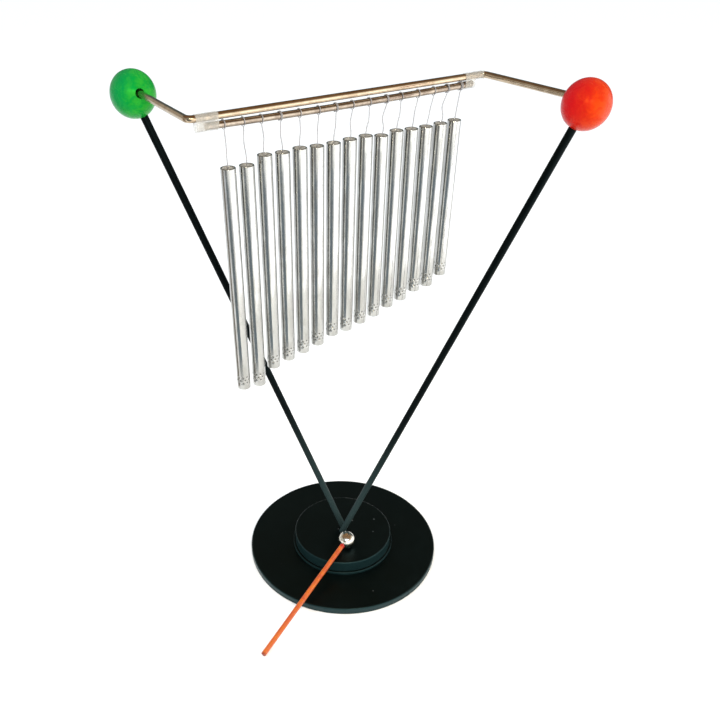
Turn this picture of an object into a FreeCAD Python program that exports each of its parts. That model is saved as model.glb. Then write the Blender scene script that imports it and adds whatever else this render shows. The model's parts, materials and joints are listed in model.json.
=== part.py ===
# Tabletop bar chimes: fifteen closed-end tubes hang on threads from a bar that two
# leaning rods carry over a weighted round base. Millimetres, +Z up, origin at the
# middle of the face that rests on the table, +X from the green ball to the red one,
# -Y towards the player.
import FreeCAD
import Part

import math
import os

import Sketcher

Vector = FreeCAD.Vector
UP = Vector(0, 0, 1)
ALONG_X = Vector(1, 0, 0)
ALONG_Y = Vector(0, 1, 0)
NODE_LIMIT = 60

# ---------------------------------------------------------------- driving sizes
SIZES = (
    # base, with a felt pad let into its underside
    ("base_radius", 71.0),
    ("base_thickness", 5.1),
    ("base_edge_round", 1.2),
    ("pad_margin", 9.0),
    ("pad_thickness", 1.2),
    ("pad_recess", 0.8),
    ("pad_clearance", 0.3),
    # hub on the base, with a thin flange at its foot
    ("hub_radius", 36.6),
    ("hub_height", 10.9),
    ("hub_edge_round", 1.0),
    ("flange_step", 1.6),
    ("flange_height", 2.1),
    ("flange_edge_round", 0.7),
    # screws that hold the hub, driven from below
    ("screw_count", 3),
    ("screw_circle_radius", 24.0),
    ("screw_radius", 1.75),
    ("screw_head_radius", 3.4),
    ("screw_length", 11.0),
    ("screw_clearance", 0.25),
    ("screw_slot_width", 0.9),
    ("screw_slot_depth", 0.8),
    # leaning rods and the balls on their ends
    ("rod_radius", 2.25),
    ("rod_gap", 0.5),
    ("rod_seat_depth", 7.0),
    ("glue_gap", 0.05),
    ("ball_radius", 12.5),
    ("ball_height", 324.1),
    ("ball_half_spacing", 119.1),
    ("balls_shift", -0.6),
    ("end_gap_in_ball", 5.0),
    ("ball_mouth_radius", 2.5),
    ("ball_mouth_depth", 4.5),
    # crossbar, bent in its own level plane
    ("bar_radius", 1.75),
    ("bar_overhang", 8.7),
    ("bar_azimuth", 39.3),
    ("bar_slide", -1.3),
    ("bar_rise", 2.3),
    ("bend_radius", 3.2),
    # bar that the threads are looped on, which sags a little between its ends
    ("chime_bar_radius", 1.75),
    ("chime_bar_margin", 10.4),
    ("chime_bar_sag", 0.75),
    ("end_gap", 0.6),
    # clear sleeves that hold the two bars together
    ("sleeve_wall", 0.3),
    ("sleeve_fit", 0.05),
    ("lower_slack", 0.15),
    ("left_grip", 6.6),
    ("right_grip", 6.2),
    ("sleeve_past_end", 0.9),
    ("bend_clearance", 0.1),
    ("elbow_angle", 50.0),
    # chimes
    ("chime_pitch", 10.56),
    ("tube_radius", 3.95),
    ("tube_wall", 0.8),
    ("bush_length", 4.0),
    ("bush_hole_radius", 1.3),
    ("plug_length", 10.0),
    ("plug_inset", 0.8),
    # threads
    ("thread_radius", 0.25),
    ("loop_clearance", 0.05),
    ("knot_radius", 1.8),
    ("knot_gap", 0.3),
    # mallet, lying with its ball on the hub and its tip on the table
    ("mallet_ball_radius", 6.35),
    ("mallet_ball_x", 4.5),
    ("mallet_ball_y", -18.6),
    ("stick_radius", 1.75),
    ("stick_reach", 108.0),
    ("stick_azimuth", 243.1),
    ("stick_start", 1.0),
    ("rest_gap", 0.2),
)
# drop from the chime bar's axis to each tube's top, and each tube's length
CHIMES = (
    (20.7, 129.2),
    (20.9, 129.9),
    (17.3, 124.5),
    (17.6, 122.0),
    (17.0, 120.6),
    (17.5, 118.0),
    (17.5, 114.5),
    (17.1, 114.4),
    (16.9, 112.6),
    (18.3, 109.2),
    (17.2, 106.9),
    (17.9, 104.2),
    (18.2, 100.5),
    (18.0, 99.9),
    (17.8, 95.2),
)

doc = FreeCAD.newDocument("BarChimes")
sheet = doc.addObject("Spreadsheet::Sheet", "Sizes")
CELLS = list(SIZES)
for number, (drop, length) in enumerate(CHIMES, start=1):
    CELLS.append((f"thread_drop_{number:02d}", drop))
    CELLS.append((f"tube_length_{number:02d}", length))
for row, (alias, value) in enumerate(CELLS, start=1):
    sheet.set(f"A{row}", alias)
    sheet.set(f"B{row}", str(value))
    sheet.setAlias(f"B{row}", alias)
doc.recompute()

nodes = []


def size(alias):
    """The plain number in the sheet's cell of that name."""
    return float(getattr(sheet, alias))


def node(piece, name):
    """Name a finished sub-part, which also names its file."""
    piece.Label = name
    nodes.append(piece)
    return piece


def bind(piece, **properties):
    """Tie an object's properties to the sheet."""
    for name, expression in properties.items():
        piece.setExpression(name.replace("__", "."), expression)
    return piece


def pose(base, direction=UP):
    """A placement that turns local +Z to a direction and moves the origin to base."""
    return FreeCAD.Placement(base, FreeCAD.Rotation(UP, direction))


def primitive(kind, placement=None, **properties):
    """A Part primitive with its sizes tied to the sheet."""
    piece = doc.addObject(f"Part::{kind}", kind)
    if placement is not None:
        piece.Placement = placement
    return bind(piece, **properties)


def fuse(*pieces):
    joined = doc.addObject("Part::MultiFuse", "Fuse")
    joined.Shapes = list(pieces)
    return joined


def cut(base, tool):
    result = doc.addObject("Part::Cut", "Cut")
    result.Base = base
    result.Tool = tool
    return result


def body(name):
    return node(doc.addObject("PartDesign::Body", name), name)


def origin_part(owner, role):
    return [part for part in owner.Origin.OriginFeatures if part.Role == role][0]


def circle_sketch(owner, name, *radii):
    """A sketch of circles about the origin, on the body's XY plane."""
    sketch = owner.newObject("Sketcher::SketchObject", name)
    sketch.AttachmentSupport = [(origin_part(owner, "XY_Plane"), "")]
    sketch.MapMode = "FlatFace"
    for index, radius in enumerate(radii):
        start_radius = 1.0 + index
        circle = sketch.addGeometry(Part.Circle(Vector(), UP, start_radius))
        sketch.addConstraint(Sketcher.Constraint("Coincident", circle, 3, -1, 1))
        rule = sketch.addConstraint(Sketcher.Constraint("Radius", circle, start_radius))
        sketch.renameConstraint(rule, f"radius_{index}")
        sketch.setExpression(f"Constraints.radius_{index}", radius)
    return sketch


def pad(owner, name, length, *radii):
    """A disc, or a ring where two radii are given, from the body's XY plane up."""
    feature = owner.newObject("PartDesign::Pad", name)
    feature.Profile = circle_sketch(owner, f"{name}_sketch", *radii)
    bind(feature, Length=length)
    doc.recompute()
    return feature


def bore(owner, name, placement, radius, length):
    """A round hole from the placement's origin along its +Z."""
    before = owner.Shape.Volume
    feature = owner.newObject("PartDesign::SubtractiveCylinder", name)
    bind(feature, Radius=radius, Height=length)
    feature.Placement = placement
    doc.recompute()
    if not owner.Shape.Volume < before:
        raise RuntimeError(f"{name} cuts nothing")
    return feature


def rim(shape, z, radius):
    """The names of the circular edges at a height, of a radius."""
    names = []
    for index, edge in enumerate(shape.Edges, start=1):
        curve = edge.Curve
        if isinstance(curve, Part.Circle) and abs(curve.Radius - radius) < 1e-4:
            if abs(curve.Center.z - z) < 1e-4:
                names.append(f"Edge{index}")
    return names


def round_rim(owner, name, z, radius, amount):
    """Round the body's rim at that height and radius."""
    base = owner.Tip
    names = rim(base.Shape, z, radius)
    if not names:
        raise RuntimeError(f"{name} finds no edge")
    feature = owner.newObject("PartDesign::Fillet", name)
    feature.Base = (base, names)
    bind(feature, Radius=amount)
    doc.recompute()
    return feature


# ---------------------------------------------------------------- shared places
base_bottom = size("pad_thickness") - size("pad_recess")
base_top = base_bottom + size("base_thickness")
hub_top = base_top + size("hub_height")
rod_side = size("rod_radius") + size("rod_gap") / 2
bar_height = size("ball_height") + size("bar_rise")
bar_spacing = size("bar_radius") + size("chime_bar_radius") + size("end_gap")
azimuth = math.radians(size("bar_azimuth"))
bar_direction = Vector(math.cos(azimuth), math.sin(azimuth), 0)
bar_middle = bar_direction * size("bar_slide") + UP * bar_height
row_half = (len(CHIMES) - 1) / 2 * size("chime_pitch")
chime_bar_half = row_half + size("chime_bar_margin")
bar_half = chime_bar_half + size("bar_overhang")
SIDES = {"left": -1, "right": 1}
ball_centres = {}
bend_corners = {}
for side, sign in SIDES.items():
    ball_centres[side] = Vector(
        sign * size("ball_half_spacing") + size("balls_shift"),
        -sign * rod_side,
        size("ball_height"),
    )
    bend_corners[side] = bar_middle + bar_direction * (sign * bar_half)


# ---------------------------------------------------------------- base and hub
PAD_RADIUS = "Sizes.base_radius - Sizes.pad_margin"


def screw_places(z):
    """The screws' centres, spaced evenly round the hub."""
    places = []
    for index in range(int(size("screw_count"))):
        turn = FreeCAD.Rotation(UP, 90 + 360 * index / size("screw_count"))
        places.append(turn.multVec(ALONG_X * size("screw_circle_radius")) + UP * z)
    return places


def make_base():
    disc = body("base_disc")
    disc.Placement = pose(UP * base_bottom)
    pad(disc, "base_blank", "Sizes.base_thickness", "Sizes.base_radius")
    round_rim(
        disc, "top_round", size("base_thickness"), size("base_radius"), "Sizes.base_edge_round"
    )
    seat = f"{PAD_RADIUS} + Sizes.pad_clearance"
    bore(disc, "pad_seat", pose(Vector()), seat, "Sizes.pad_recess")
    head_floor = size("pad_recess")
    for index, place in enumerate(screw_places(head_floor)):
        hole = "Sizes.screw_radius + Sizes.screw_clearance"
        bore(disc, f"screw_hole_{index}", pose(place), hole, "Sizes.base_thickness")
        sink = disc.newObject("PartDesign::SubtractiveCone", f"countersink_{index}")
        bind(
            sink,
            Radius1="Sizes.screw_head_radius + Sizes.screw_clearance",
            Radius2="Sizes.screw_radius + Sizes.screw_clearance",
            Height="Sizes.screw_head_radius - Sizes.screw_radius",
        )
        sink.Placement = pose(place)
        doc.recompute()


def make_pad():
    felt = body("felt_pad")
    pad(felt, "felt_blank", "Sizes.pad_thickness", PAD_RADIUS)


def rod_seat(side):
    """Where a rod's lower end stands in the hub, and the way it leans."""
    apex = Vector(0, ball_centres[side].y, hub_top)
    lean = (ball_centres[side] - apex).normalize()
    return apex - lean * size("rod_seat_depth"), lean


def make_hub():
    hub = body("hub_disc")
    hub.Placement = pose(UP * base_top)
    pad(hub, "flange", "Sizes.flange_height", "Sizes.hub_radius + Sizes.flange_step")
    flange_radius = size("hub_radius") + size("flange_step")
    round_rim(
        hub, "flange_round", size("flange_height"), flange_radius, "Sizes.flange_edge_round"
    )
    pad(hub, "drum", "Sizes.hub_height", "Sizes.hub_radius")
    round_rim(hub, "top_round", size("hub_height"), size("hub_radius"), "Sizes.hub_edge_round")
    for side in SIDES:
        foot, lean = rod_seat(side)
        reach = "Sizes.rod_seat_depth + 2 * Sizes.rod_radius"
        hole = "Sizes.rod_radius + Sizes.glue_gap"
        bore(hub, f"{side}_rod_hole", pose(foot - UP * base_top, lean), hole, reach)
    pilot_depth = "Sizes.screw_length - Sizes.base_thickness + Sizes.pad_recess + 1"
    pilot = "Sizes.screw_radius + Sizes.glue_gap"
    for index, place in enumerate(screw_places(0)):
        bore(hub, f"screw_pilot_{index}", pose(place), pilot, pilot_depth)


def make_screws():
    screws = []
    seat = base_bottom + size("pad_recess")
    for place in screw_places(seat):
        shank = primitive(
            "Cylinder", pose(place), Radius="Sizes.screw_radius", Height="Sizes.screw_length"
        )
        head = primitive(
            "Cone",
            pose(place),
            Radius1="Sizes.screw_head_radius",
            Radius2="Sizes.screw_radius",
            Height="Sizes.screw_head_radius - Sizes.screw_radius",
        )
        across = place - ALONG_X * size("screw_head_radius") * 2
        slot = primitive(
            "Box",
            pose(across - ALONG_Y * (size("screw_slot_width") / 2)),
            Length="4 * Sizes.screw_head_radius",
            Width="Sizes.screw_slot_width",
            Height="Sizes.screw_slot_depth",
        )
        screws.append(cut(fuse(shank, head), slot))
    group = doc.addObject("Part::Compound", "Screws")
    group.Links = screws
    node(group, "hub_screws")


# ---------------------------------------------------------------- rods and balls
def make_rod(side):
    foot, lean = rod_seat(side)
    rod = body(f"{side}_rod")
    rod.Placement = pose(foot, lean)
    shaft = rod.newObject("PartDesign::AdditiveCylinder", "shaft")
    bind(shaft, Radius="Sizes.rod_radius")
    shaft.Height = (ball_centres[side] - foot).Length - size("end_gap_in_ball")
    doc.recompute()


def make_ball(side, name):
    """A ball with a blind hole for its rod and a wide-mouthed one for the crossbar."""
    centre = ball_centres[side]
    ball = body(name)
    ball.Placement = pose(centre)
    sphere = ball.newObject("PartDesign::AdditiveSphere", "sphere")
    bind(sphere, Radius="Sizes.ball_radius")
    doc.recompute()
    lean = rod_seat(side)[1]
    hole = "Sizes.rod_radius + Sizes.glue_gap"
    start = lean * -size("end_gap_in_ball")
    bore(ball, "rod_hole", pose(start, lean * -1), hole, "Sizes.ball_radius")
    level = UP * size("bar_rise")
    start, arm = arm_end(side)
    hole = "Sizes.bar_radius + Sizes.glue_gap"
    bore(ball, "bar_hole", pose(start - centre, arm), hole, "Sizes.ball_radius")
    start = level + arm * (size("ball_radius") - size("ball_mouth_depth"))
    bore(ball, "bar_mouth", pose(start, arm), "Sizes.ball_mouth_radius", "Sizes.ball_radius")


# ---------------------------------------------------------------- the two bars
def bend(side):
    """A bend's two tangent points, on the arm and on the long run, and its centre."""
    corner = bend_corners[side]
    centre = ball_centres[side] + UP * size("bar_rise")
    arm = (centre - corner).normalize()
    run = bar_direction * -SIDES[side]
    half_turn = arm.getAngle(run) / 2
    back = size("bend_radius") / math.tan(half_turn)
    hinge = corner + (arm + run).normalize() * (size("bend_radius") / math.sin(half_turn))
    return corner + arm * back, corner + run * back, hinge


def arm_end(side):
    """Where the crossbar ends inside a ball, and the way it leaves the ball."""
    centre = ball_centres[side] + UP * size("bar_rise")
    arm = (bend_corners[side] - centre).normalize()
    return centre + arm * size("end_gap_in_ball"), arm


def bar_path():
    """The crossbar's level centreline: arm, bend, long run, bend, arm."""
    path = doc.addObject("Part::Feature", "bar_path")
    arcs = {}
    for side in SIDES:
        on_arm, on_run, hinge = bend(side)
        halfway = hinge + ((on_arm + on_run) / 2 - hinge).normalize() * size("bend_radius")
        arcs[side] = Part.Arc(on_arm, halfway, on_run).toShape()
    left_arm = Part.LineSegment(arm_end("left")[0], bend("left")[0]).toShape()
    long_run = Part.LineSegment(bend("left")[1], bend("right")[1]).toShape()
    right_arm = Part.LineSegment(bend("right")[0], arm_end("right")[0]).toShape()
    path.Shape = Part.Wire([left_arm, arcs["left"], long_run, arcs["right"], right_arm])
    return path


def make_crossbar():
    end, arm = arm_end("left")
    section = primitive("Circle", pose(end, arm), Radius="Sizes.bar_radius")
    path = bar_path()
    sweep = doc.addObject("Part::Sweep", "Crossbar")
    sweep.Sections = [section]
    sweep.Spine = (path, [])
    sweep.Solid = True
    doc.recompute()
    expected = math.pi * size("bar_radius") ** 2 * path.Shape.Length
    if abs(sweep.Shape.Volume - expected) > 0.005 * expected:
        raise RuntimeError("the crossbar's volume isn't its section times its length")
    node(sweep, "crossbar")


def along_bar(distance, drop=0.0):
    """A point on the crossbar's long run, or below it, measured from the middle."""
    return bar_middle + bar_direction * distance - UP * drop


def bow_radius():
    """The radius of the chime bar's gentle sag."""
    return (chime_bar_half**2 + size("chime_bar_sag") ** 2) / (2 * size("chime_bar_sag"))


def on_chime_bar(distance):
    """A point on the chime bar's axis, measured along the bar from its middle."""
    radius = bow_radius()
    rise = radius - math.sqrt(radius**2 - distance**2)
    return along_bar(distance, bar_spacing + size("chime_bar_sag") - rise)


def make_chime_bar():
    radius = bow_radius()
    half_angle = math.asin(chime_bar_half / radius)
    first = (bar_direction * -math.sin(half_angle) - UP * math.cos(half_angle)).normalize()
    turn_axis = bar_direction.cross(UP)
    turn = FreeCAD.Rotation(first, turn_axis.cross(first), turn_axis, "ZXY")
    ring = primitive(
        "Torus",
        FreeCAD.Placement(on_chime_bar(0) + UP * radius, turn),
        Radius2="Sizes.chime_bar_radius",
    )
    ring.Radius1 = radius
    ring.Angle3 = math.degrees(2 * half_angle)
    node(ring, "chime_bar")


# ---------------------------------------------------------------- clear sleeves
def round_bar(start, length, growth):
    """A cylinder along the crossbar's long run, grown all round."""
    piece = primitive(
        "Cylinder", pose(along_bar(start), bar_direction), Radius=f"Sizes.bar_radius + {growth}"
    )
    piece.Height = length
    return piece


def both_bars(start, length, growth):
    """A prism round both bars' ends and the gap between, with a slack lower lobe."""
    slack = size("lower_slack") / 2
    lower = primitive(
        "Cylinder",
        pose(along_bar(start, bar_spacing + slack), bar_direction),
        Radius=f"Sizes.chime_bar_radius + Sizes.lower_slack + {growth}",
    )
    lower.Height = length
    web = primitive("Box", None, Width=f"2 * (Sizes.bar_radius + {growth})")
    doc.recompute()
    across = UP.cross(bar_direction)
    web.Placement = FreeCAD.Placement(
        along_bar(start, bar_spacing) - across * (web.Width.Value / 2),
        FreeCAD.Rotation(UP, size("bar_azimuth")),
    )
    web.Height = bar_spacing
    web.Length = length
    return fuse(round_bar(start, length, growth), lower, web)


SLEEVE_OUTSIDE = "Sizes.sleeve_fit + Sizes.sleeve_wall"
SLEEVE_INSIDE = "Sizes.sleeve_fit"


def make_left_sleeve():
    tangent = (bend("left")[1] - bar_middle).dot(bar_direction)
    start = tangent + size("bend_clearance")
    length = size("left_grip") - chime_bar_half - start
    wall = both_bars(start, length, SLEEVE_OUTSIDE)
    hollow = both_bars(start - length, 3 * length, SLEEVE_INSIDE)
    node(cut(wall, hollow), "left_sleeve")


def elbow(growth, angle):
    """A ring piece round the right bend, from where the long run ends."""
    on_arm, on_run, hinge = bend("right")
    spoke = on_run - hinge
    start_angle = math.degrees(math.atan2(spoke.y, spoke.x))
    if spoke.cross(on_arm - hinge).z < 0:
        start_angle -= angle
    ring = primitive(
        "Torus",
        FreeCAD.Placement(hinge, FreeCAD.Rotation(UP, start_angle)),
        Radius1="Sizes.bend_radius",
        Radius2=f"Sizes.bar_radius + {growth}",
    )
    ring.Angle3 = angle
    return ring


def make_right_sleeve():
    """Round both bars first, then round the crossbar alone and into its bend."""
    start = chime_bar_half - size("right_grip")
    lower_length = size("right_grip") + size("sleeve_past_end")
    straight = (bend("right")[1] - bar_middle).dot(bar_direction) - start
    wall = fuse(
        both_bars(start, lower_length, SLEEVE_OUTSIDE),
        round_bar(start, straight, SLEEVE_OUTSIDE),
        elbow(SLEEVE_OUTSIDE, size("elbow_angle")),
    )
    hollow = fuse(
        both_bars(start - lower_length, 2 * lower_length, SLEEVE_INSIDE),
        round_bar(start, straight, SLEEVE_INSIDE),
        elbow(SLEEVE_INSIDE, 1.5 * size("elbow_angle")),
    )
    node(cut(wall, hollow), "right_sleeve")


# ---------------------------------------------------------------- chimes
def make_tube(number, top):
    """An aluminium tube, open until its bush and plug go in."""
    length = size(f"tube_length_{number:02d}")
    tube = body(f"chime_tube_{number:02d}")
    tube.Placement = pose(top - UP * length)
    pad(
        tube,
        f"wall_{number:02d}",
        f"Sizes.tube_length_{number:02d}",
        "Sizes.tube_radius",
        "Sizes.tube_radius - Sizes.tube_wall",
    )


def make_plugs(number, top):
    """The bush that the thread comes out of, and the plug at the foot."""
    inside = "Sizes.tube_radius - Sizes.tube_wall"
    bush_foot = pose(top - UP * size("bush_length"))
    blank = primitive("Cylinder", bush_foot, Radius=inside, Height="Sizes.bush_length")
    hole = primitive(
        "Cylinder", bush_foot, Radius="Sizes.bush_hole_radius", Height="Sizes.bush_length"
    )
    foot = top - UP * (size(f"tube_length_{number:02d}") - size("plug_inset"))
    plug = primitive("Cylinder", pose(foot), Radius=inside, Height="Sizes.plug_length")
    pair = doc.addObject("Part::Compound", "Plugs")
    pair.Links = [cut(blank, hole), plug]
    node(pair, f"chime_plugs_{number:02d}")


def make_thread(number, place):
    """A thread with its loop on the chime bar and its knot under the tube's bush."""
    loop_radius = "Sizes.chime_bar_radius + Sizes.loop_clearance + Sizes.thread_radius"
    loop = primitive(
        "Torus", pose(place, bar_direction), Radius1=loop_radius, Radius2="Sizes.thread_radius"
    )
    doc.recompute()
    start = loop.Radius1.Value
    under_bush = size("bush_length") + size("knot_gap") + size("knot_radius")
    end = size(f"thread_drop_{number:02d}") + under_bush
    run = primitive("Cylinder", pose(place - UP * end), Radius="Sizes.thread_radius")
    run.Height = end - start
    knot = primitive("Sphere", pose(place - UP * end), Radius="Sizes.knot_radius")
    node(fuse(loop, run, knot), f"chime_thread_{number:02d}")
    return end - start


def make_chimes():
    middle = (len(CHIMES) + 1) / 2
    for number in range(1, len(CHIMES) + 1):
        place = on_chime_bar((number - middle) * size("chime_pitch"))
        top = place - UP * size(f"thread_drop_{number:02d}")
        make_tube(number, top)
        make_plugs(number, top)
        straight = make_thread(number, place)
        print(f"thread {number:02d}: {straight:.1f} mm from loop to knot")


# ---------------------------------------------------------------- mallet
def stick_line():
    """The mallet ball's centre as it lies, and the way down its stick to the tip."""
    centre = Vector(size("mallet_ball_x"), size("mallet_ball_y"), 0)
    centre.z = hub_top + size("mallet_ball_radius") + size("rest_gap")
    slope = 0.0
    for _ in range(8):
        tip_height = size("rest_gap") + size("stick_radius") * math.cos(slope)
        slope = math.asin((centre.z - tip_height) / size("stick_reach"))
    heading = FreeCAD.Rotation(UP, size("stick_azimuth")).multVec(ALONG_X)
    return centre, heading * math.cos(slope) - UP * math.sin(slope)


def make_mallet():
    centre, downhill = stick_line()
    ball = body("mallet_ball")
    ball.Placement = pose(centre)
    sphere = ball.newObject("PartDesign::AdditiveSphere", "sphere")
    bind(sphere, Radius="Sizes.mallet_ball_radius")
    doc.recompute()
    hole = "Sizes.stick_radius + Sizes.glue_gap"
    start = downhill * size("stick_start")
    bore(ball, "stick_hole", pose(start, downhill), hole, "Sizes.mallet_ball_radius")
    stick = body("mallet_stick")
    stick.Placement = pose(centre + start, downhill)
    shaft = stick.newObject("PartDesign::AdditiveCylinder", "shaft")
    bind(shaft, Radius="Sizes.stick_radius", Height="Sizes.stick_reach - Sizes.stick_start")
    doc.recompute()


# ---------------------------------------------------------------- build and write
def check_document():
    """Stop on any failed object, or on a sub-part with no sound solid."""
    doc.recompute()
    for piece in doc.Objects:
        if "Invalid" in piece.State or "Error" in piece.State:
            raise RuntimeError(f"{piece.Label} is {piece.State}")
    labels = [piece.Label for piece in nodes]
    if len(set(labels)) != len(labels) or len(labels) > NODE_LIMIT:
        raise RuntimeError("node names repeat, or there are too many")
    for piece in nodes:
        shape = piece.Shape
        if shape.isNull() or not shape.isValid() or not shape.Solids:
            raise RuntimeError(f"{piece.Label} has no sound solid")


def write_parts():
    os.makedirs("parts", exist_ok=True)
    for piece in nodes:
        piece.Shape.exportStep(f"parts/{piece.Label}.step")


make_base()
make_pad()
make_hub()
make_screws()
for side, ball_name in (("left", "green_ball"), ("right", "red_ball")):
    make_rod(side)
    make_ball(side, ball_name)
make_crossbar()
make_chime_bar()
make_left_sleeve()
make_right_sleeve()
make_chimes()
make_mallet()
check_document()
write_parts()
print(f"{len(nodes)} nodes written")
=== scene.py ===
# Tabletop bar chimes: hanging tubes and their threads, the bars, the mallet stick, every
# finish, a pale floor and soft light. Metres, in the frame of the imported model.
import json
import math
import random

import bmesh
import bpy
from mathutils import Matrix, Vector


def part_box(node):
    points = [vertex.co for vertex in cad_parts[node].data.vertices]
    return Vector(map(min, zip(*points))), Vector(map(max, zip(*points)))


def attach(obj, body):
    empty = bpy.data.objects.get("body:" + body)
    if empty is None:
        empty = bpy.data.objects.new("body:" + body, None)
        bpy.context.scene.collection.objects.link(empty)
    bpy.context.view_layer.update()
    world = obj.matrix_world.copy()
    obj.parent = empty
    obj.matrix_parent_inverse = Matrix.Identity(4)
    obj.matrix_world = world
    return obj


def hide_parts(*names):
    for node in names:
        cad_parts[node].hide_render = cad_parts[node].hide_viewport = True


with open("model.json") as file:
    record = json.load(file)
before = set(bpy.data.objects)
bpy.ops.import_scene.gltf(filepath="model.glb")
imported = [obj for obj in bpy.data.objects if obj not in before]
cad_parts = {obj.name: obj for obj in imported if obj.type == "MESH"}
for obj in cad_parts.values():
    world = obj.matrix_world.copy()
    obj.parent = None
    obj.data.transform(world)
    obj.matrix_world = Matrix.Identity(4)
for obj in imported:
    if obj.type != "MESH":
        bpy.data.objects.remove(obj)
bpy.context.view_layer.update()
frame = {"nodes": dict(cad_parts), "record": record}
nodes = frame["nodes"]
joints = {joint["name"]: joint for joint in frame["record"]["behaviour"]["joints"]}
scene = bpy.context.scene

MM = 0.001
TINY = 1e-6
UP = Vector((0, 0, 1))
CHIME_COUNT = 15


def chime_numbers():
    return range(1, CHIME_COUNT + 1)


def hinge_place(name):
    return Vector(joints[name]["pos_m"])


# ------------------------------------------------------------------ shared places
ALONG_BAR = Vector(joints["swing_01"]["axis"]).normalized()
ACROSS_BAR = Vector(joints["lean_01"]["axis"]).normalized()
BAR_TURN = math.atan2(ALONG_BAR.y, ALONG_BAR.x)
BAR_MIDDLE = (hinge_place("swing_01") + hinge_place("swing_15")) / 2
BAR_MIDDLE.z = 326.4 * MM
BALL_CENTRES = {-1: Vector((-119.7, 2.5, 324.1)) * MM, 1: Vector((118.5, -2.5, 324.1)) * MM}
BAR_RADIUS = 1.75 * MM
BAR_HALF = 93.02 * MM
CHIME_BAR_HALF = 84.32 * MM
CHIME_BAR_DROP = 4.85 * MM
CHIME_BAR_SAG = 0.75 * MM
CHIME_BAR_BOW = (CHIME_BAR_HALF**2 + CHIME_BAR_SAG**2) / (2 * CHIME_BAR_SAG)
BEND_RADIUS = 3.2 * MM
BEND_STEPS = 14
CHIME_BAR_STEPS = 24
BAR_RISE = 2.3 * MM
BAR_END_IN_BALL = 5 * MM


# ------------------------------------------------------------------ camera
CAMERA_PLACE = Vector((0.0299, -0.4187, 0.4131))
CAMERA_HEADING = math.radians(-7.32)
CAMERA_PITCH = math.radians(36.88)
CAMERA_ROLL = math.radians(0.61)
CAMERA_LENS = 37.07
CAMERA_SHIFT = (0.0678, 0.1160)


def make_camera():
    data = bpy.data.cameras.new("camera")
    data.sensor_width = 36.0
    data.lens = CAMERA_LENS
    data.shift_x, data.shift_y = CAMERA_SHIFT
    data.clip_start = 0.01
    camera = bpy.data.objects.new("camera", data)
    turn = Matrix.Rotation(-CAMERA_HEADING, 4, "Z")
    tilt = Matrix.Rotation(math.pi / 2 - CAMERA_PITCH, 4, "X")
    roll = Matrix.Rotation(-CAMERA_ROLL, 4, "Z")
    camera.matrix_world = Matrix.Translation(CAMERA_PLACE) @ turn @ tilt @ roll
    scene.collection.objects.link(camera)
    scene.camera = camera


# ------------------------------------------------------------------ node helpers
class Graph:
    """Places nodes in a tree and joins them, with plain numbers set on their sockets."""

    def __init__(self, tree):
        self.tree = tree

    def put(self, kind, settings=None, **inputs):
        made = self.tree.nodes.new(kind)
        for key, value in (settings or {}).items():
            setattr(made, key, value)
        for key, value in inputs.items():
            self.feed(made, key.replace("_", " "), value)
        return made

    def feed(self, target, socket, value):
        if isinstance(socket, str):
            socket = next(s for s in target.inputs if s.name == socket and s.enabled)
        else:
            socket = target.inputs[socket]
        if isinstance(value, bpy.types.NodeSocket):
            self.tree.links.new(value, socket)
        else:
            socket.default_value = value

    def maths(self, operation, first, second=0.0, third=None):
        made = self.tree.nodes.new("ShaderNodeMath")
        made.operation = operation
        self.feed(made, 0, first)
        self.feed(made, 1, second)
        if third is not None:
            self.feed(made, 2, third)
        return made.outputs[0]

    def both(self, first, second):
        """Two masks multiplied, so that only what both hold is left."""
        return self.maths("MULTIPLY", first, second)

    def ramp(self, value, low, high, to_low=0.0, to_high=1.0, smooth=True):
        made = self.tree.nodes.new("ShaderNodeMapRange")
        made.interpolation_type = "SMOOTHSTEP" if smooth else "LINEAR"
        for index, entry in enumerate((value, low, high, to_low, to_high)):
            self.feed(made, index, entry)
        return made.outputs[0]

    def mix(self, factor, first, second):
        made = self.tree.nodes.new("ShaderNodeMix")
        made.data_type = "RGBA"
        self.feed(made, 0, factor)
        self.feed(made, 6, first)
        self.feed(made, 7, second)
        return made.outputs[2]

    def places(self, scale=(1, 1, 1), turn=0.0, middle=(0, 0, 0)):
        """Object coordinates, moved to a middle, turned about Z and scaled, per metre."""
        shift = self.put("ShaderNodeMapping", {"vector_type": "POINT"})
        self.feed(shift, "Vector", self.put("ShaderNodeTexCoord").outputs["Object"])
        self.feed(shift, "Location", tuple(-v for v in middle))
        made = self.put("ShaderNodeMapping", {"vector_type": "POINT"})
        self.feed(made, "Vector", shift.outputs[0])
        self.feed(made, "Rotation", (0, 0, -turn))
        stretch = self.put("ShaderNodeMapping", {"vector_type": "POINT"})
        self.feed(stretch, "Vector", made.outputs[0])
        self.feed(stretch, "Scale", scale)
        return stretch.outputs[0]


def new_group(name, inputs, outputs):
    """A shader node group with named sockets. Each entry is (name, kind, start value)."""
    tree = bpy.data.node_groups.new(name, "ShaderNodeTree")
    for label, kind, value in inputs:
        socket = tree.interface.new_socket(name=label, in_out="INPUT", socket_type=kind)
        if value is not None:
            socket.default_value = value
    for label, kind in outputs:
        tree.interface.new_socket(name=label, in_out="OUTPUT", socket_type=kind)
    graph = Graph(tree)
    return tree, graph, tree.nodes.new("NodeGroupInput"), tree.nodes.new("NodeGroupOutput")


FLOAT, VECTOR = "NodeSocketFloat", "NodeSocketVector"


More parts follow.
